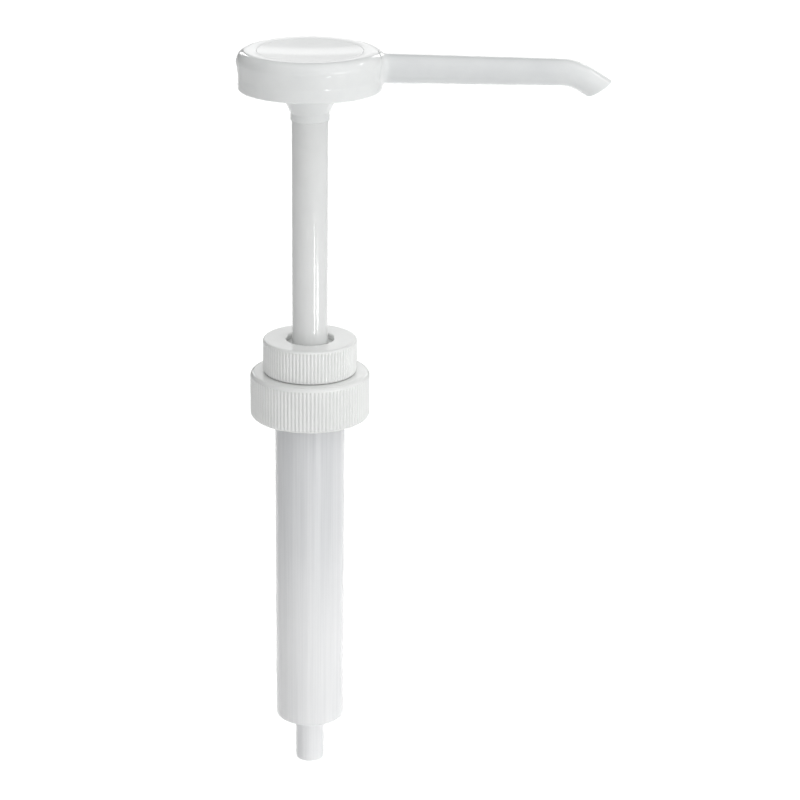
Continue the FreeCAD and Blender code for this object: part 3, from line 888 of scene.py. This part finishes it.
# %% Piston cup
cup_r, cup_foot, cup_top = cad("piston_cup")
cup_heel = cup_foot + 4.0
cup_inner = 7.65
LIP = 1.2
cup_outline = outline([
    (cup_inner, cup_foot, 0.2),
    (cup_r - 0.5, cup_foot, 0.5),
    (cup_r - 0.5, cup_heel, 1.5),
    (cup_r, cup_top - LIP, 0.8),
    (cup_r, cup_top, 0.12),
    (cup_r - LIP, cup_top, 0.25),
    ((cup_inner + cup_r) / 2, cup_heel, 0.5),
    (cup_inner + LIP, cup_top, 0.25),
    (cup_inner, cup_top, 0.2),
], step=1.5)
make_piece("piston_cup_seal", turned(cup_outline, 224), "plunger", seal_silicone,
           "piston_cup")

# %% [markdown]
# ## Valves and spring
# Two steel balls open and close as the pump is worked. The spring is round wire carried along a helix
# whose pitch eases to about one wire at both ends, as in a real spring with closed ends. The share of its
# length that it would keep with the head pressed right down is the height that the full stroke leaves it
# above its seat on the floor of the barrel, less a hair; it is worked out and printed.

# %% Balls


def ball(node):
    """Sphere as an outline from pole to pole: r = R cos t, z = centre + R sin t."""
    radius, low, high = cad(node)
    t = np.linspace(-np.pi / 2, np.pi / 2, 49)
    arc = np.stack([radius * np.cos(t), (low + high) / 2 + radius * np.sin(t)], axis=1)
    return turned_solid(arc, 96)


make_piece("intake_valve_ball", ball("inlet_ball"), "intake_ball", ball_polish, "inlet_ball")
make_piece("delivery_valve_ball", ball("outlet_ball"), "delivery_ball", ball_polish,
           "outlet_ball")

# %% Follower and seat plug
follower_r, follower_foot, follower_top = cad("spring_follower")
follower_bore = 5.26
shelf = follower_foot + 3
sleeve_bore = 7.0
sleeve_r = 8.6
follower_outline = outline([
    (sleeve_bore, follower_foot, 0.2),
    (sleeve_r, follower_foot, 0.35),
    (sleeve_r, shelf, 0.25),
    (follower_r, shelf, 0.3),
    (follower_r, follower_top, 0.4),
    (follower_bore, follower_top, 0.25),
    (follower_bore, shelf, 0.2),
    (sleeve_bore, shelf, 0.2),
], step=1.5)
make_piece("spring_follower_ring", turned(follower_outline), "follower", valve_white,
           "spring_follower")

plug_r, plug_low, plug_high = cad("seat_plug")
flange_top = cup_foot - 0.05
flange_foot = flange_top - 2
port_r = 2.6
shank_r = 5.2
core_r = 6.2
seat_r = 4.6
plug_outline = outline([
    (port_r, plug_low, 0.3),
    (shank_r, plug_low, 0.4),
    (shank_r, flange_foot, 0.3),
    (plug_r, flange_foot, 0.3),
    (plug_r, flange_top, 0.3),
    (core_r, flange_top, 0.2),
    (core_r, plug_high, 0.3),
    (seat_r, plug_high, 0.15),
    (seat_r, flange_top + 1.7, 0.2),
    (port_r, flange_top - 0.3, 0.15),
], step=1.5)
make_piece("outlet_seat_plug", turned(plug_outline), "plunger", valve_white, "seat_plug")

# %% Return spring
WIRE = 1.4
TURNS = 14
TURN_STEPS = 72
WIRE_SIDES = 20
LINE_RUN = 0.12


def spring():
    """Wire of round section carried along a helix, closed by a fan at each end, and a place along the wire.

    At the share s of the helix the angle is 2 pi TURNS s. The level is the running sum of a slope. It makes
    the pitch about one wire at both ends, and widens it between 0.6 and 1.8 turns from each end. The section
    stands upright, in the plane through the Z axis.
    """
    radius, low, high = cad("return_spring")
    middle_r = radius - WIRE / 2
    bottom, rise = low + WIRE / 2, high - low - WIRE
    s = np.linspace(0, 1, TURNS * TURN_STEPS + 1)[:, None]
    closed_pitch = WIRE * TURNS / rise
    knee = 1.0 / TURNS
    from_end = np.minimum(s, 1 - s)
    slope = closed_pitch + (1 - closed_pitch) * smooth((from_end - knee * 0.6) / (knee * 1.2))
    level = np.concatenate([[[0]], np.cumsum((slope[1:] + slope[:-1]) / 2, axis=0)])
    level = bottom + rise * level / level[-1]
    angle = 2 * np.pi * TURNS * s
    around = 2 * np.pi * np.arange(WIRE_SIDES)[None, :] / WIRE_SIDES
    out = middle_r + WIRE / 2 * np.cos(around)
    up = WIRE / 2 * np.sin(around)
    points = np.stack(np.broadcast_arrays(out * np.cos(angle), out * np.sin(angle), level + up), axis=-1)
    ends = np.stack([points[0].mean(axis=0), points[-1].mean(axis=0)])
    place = np.stack(np.broadcast_arrays(np.cos(around), np.sin(around), angle * LINE_RUN), axis=-1)
    place = place.reshape(-1, 3)
    place = np.concatenate([place, place[:1], place[-1:]])
    return capped(points.reshape(-1, 3), WIRE_SIDES, ends), place


spring_surface, wire_place = spring()
coil = make_piece("coil_spring", spring_surface, "barrel_unit", spring_wire,
                  "return_spring")
coil.data.attributes.new("wire_place", "FLOAT_VECTOR", "POINT").data.foreach_set(
    "vector", wire_place.astype(np.float32).ravel())
_, _, spring_top = cad("return_spring")
press = next(joint for joint in frame["joints"] if joint["name"] == "head_press")
stroke = press["range_m"][1] / MM
SPARE = 0.0005
pressed_share = (spring_top - stroke - floor) / (spring_top - floor) - SPARE
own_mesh(coil)
print("pressed right down, the spring keeps", round(pressed_share, 4), "of its length")
print("spring is", TURNS, "turns of", WIRE, "mm wire")

# %% [markdown]
# ## Pieces kept as the CAD made them
# The inlet valve's cage and the piston are plain mouldings with windows and slots, right as the CAD has
# them. They stay, and only take a finish.

# %% Finishes for the CAD's own pieces
for node in ("inlet_cage", "piston_body"):
    slots = frame["nodes"][node].data.materials
    slots.clear()
    slots.append(valve_white.material)
    print(node, "keeps its shape and wears", valve_white.material.name)

# %% [markdown]
# ## Studio
# A pale floor well below the pump keeps its shadow out of the picture. The world is a soft tent, brighter
# from the front right and above and dim from the left, which models the round pieces. The key, overhead
# and fill boxes light the whole pump. The dish, edge and tip boxes stand behind it and mirror in the head's
# top and in the spout's tip. The streak and strip boxes stand low, where upright walls mirror them to the
# camera, and draw thin highlights. The card light falls on the floor behind. The camera looks slightly down
# along +Y with a long lens.

# %% Floor
FLOOR_Z = -0.45
FLOOR_R = 60.0
FLOOR_RINGS = 24
FLOOR_SIDES = 96


def make_floor():
    """Round sheet on a grid of radius and angle, with a faint mottling so that it is not a flat colour."""
    finish = Finish("floor_pale_card")
    clouds = finish.noise(180.0, detail=2.0)
    finish.colour(clouds, (0.90, 0.90, 0.90), (0.93, 0.93, 0.93))
    finish.roughness(0.85 + clouds * 0.1)
    radius = np.geomspace(0.02, FLOOR_R, FLOOR_RINGS)[:, None]
    angle = 2 * np.pi * np.arange(FLOOR_SIDES)[None, :] / FLOOR_SIDES
    x, y, z = np.broadcast_arrays(radius * np.cos(angle), radius * np.sin(angle), FLOOR_Z)
    points = np.stack([x, y, z], axis=-1).reshape(-1, 3)
    points = np.concatenate([points, [[0, 0, FLOOR_Z]]])
    k = np.arange(FLOOR_SIDES)
    fan = np.stack([np.full(FLOOR_SIDES, len(points) - 1), k, (k + 1) % FLOOR_SIDES], axis=1)
    faces = grid_faces(FLOOR_RINGS, FLOOR_SIDES, False)[:, ::-1].tolist() + fan.tolist()
    mesh = bpy.data.meshes.new("studio_floor")
    mesh.from_pydata(points.tolist(), [], faces)
    mesh.materials.append(finish.material)
    floor_sheet = bpy.data.objects.new("studio_floor", mesh)
    bpy.context.scene.collection.objects.link(floor_sheet)


make_floor()
print("floor at", FLOOR_Z, "m")

# %% World light
LEVEL = 0.325
LEAST = 0.03
world = bpy.data.worlds.new("studio_tent")
world.use_nodes = True
bpy.context.scene.world = world
tent = world.node_tree
background = tent.nodes["Background"]


def tent_light():
    """Strength of the tent in a direction (x, y, z): LEVEL plus slopes to the right, the front and up."""
    where = tent.nodes.new("ShaderNodeTexCoord")
    split = tent.nodes.new("ShaderNodeSeparateXYZ")
    tent.links.new(where.outputs["Generated"], split.inputs[0])
    x, y, z = (Signal(tent, split.outputs[axis]) for axis in range(3))
    strength = LEVEL + x * 0.27 - y * 0.41 + z * 0.39
    return strength.maths("MAXIMUM", strength, LEAST)


plug(tent, background.inputs["Strength"], tent_light())
background.inputs["Color"].default_value = (1.0, 1.0, 1.0, 1)
print("world light is set")

# %% Softboxes


def softbox(name, place, target, size, power, spread=180):
    """Area light at place, facing target: size is (width, height) in metres, spread in degrees."""
    light = bpy.data.lights.new(name, "AREA")
    light.spread = math.radians(spread)
    light.shape = "RECTANGLE"
    light.size, light.size_y = size
    light.energy = power
    box = bpy.data.objects.new(name, light)
    bpy.context.scene.collection.objects.link(box)
    from_target = np.array(place) - np.array(target)
    away = from_target / np.linalg.norm(from_target)
    side = np.cross((0, 0, 1), away)
    side /= np.linalg.norm(side)
    up = np.cross(away, side)
    frame_of_box = np.eye(4)
    frame_of_box[:3, 0], frame_of_box[:3, 1], frame_of_box[:3, 2] = side, up, away
    frame_of_box[:3, 3] = place
    box.matrix_world = Matrix(frame_of_box.tolist())
    box.visible_camera = False


softbox("key_front_right", (1.0, -0.85, 0.30), (0, 0, 0.12), (0.75, 0.14), 1.8)
softbox("overhead", (0.1, -0.2, 1.5), (0, 0, 0.1), (1.6, 1.6), 3.0)
softbox("front_fill", (-0.35, -1.5, 0.1), (0, 0, 0.05), (0.5, 0.5), 0.5)
softbox("dish_glow", (0.1, 1.5, 0.46), (0, 0, 0.12), (0.7, 0.7), 1.5)
softbox("dish_band", (0.05, 1.45, 0.44), (0, 0, 0.12), (0.6, 0.14), 0.14)
softbox("edge_left", (-0.42, 1.37, 0.50), (0, 0, 0.12), (0.16, 0.5), 1.0)
softbox("edge_right", (0.58, 1.28, 0.55), (0, 0, 0.12), (0.20, 0.5), 1.0)
softbox("tip_strip", (0.98, 0.36, 0.97), (0.1, 0, 0.1), (0.3, 0.14), 0.6)
softbox("side_streak", (0.93, -0.76, -0.34), (0, 0, 0.11), (0.26, 0.05), 0.55)
softbox("barrel_strip", (0.31, -0.84, -0.375), (0, 0, -0.375), (0.03, 0.10), 0.07)
softbox("rod_strip", (0.50, -0.90, -0.288), (0, 0, -0.288), (0.12, 0.105), 0.55)
softbox("card_light", (0.2, 2.3, 0.75), (0.2, 2.299, FLOOR_Z), (1.9, 4.2), 16, spread=36)

# %% Camera
TILT = math.radians(19.5)
camera = bpy.data.cameras.new("camera")
camera.sensor_width = 36.0
camera.lens = 117.0
camera.shift_x = 0.1125
camera.clip_start, camera.clip_end = 0.01, 50.0
eye = bpy.data.objects.new("camera", camera)
bpy.context.scene.collection.objects.link(eye)
eye.location = (0.0, -0.884, 0.3072)
eye.rotation_euler = (math.pi / 2 - TILT, 0.0, 0.0)
bpy.context.scene.camera = eye
bpy.context.scene.view_settings.view_transform = "Standard"
print("camera looks down", round(math.degrees(TILT), 1), "degrees through", camera.lens, "mm")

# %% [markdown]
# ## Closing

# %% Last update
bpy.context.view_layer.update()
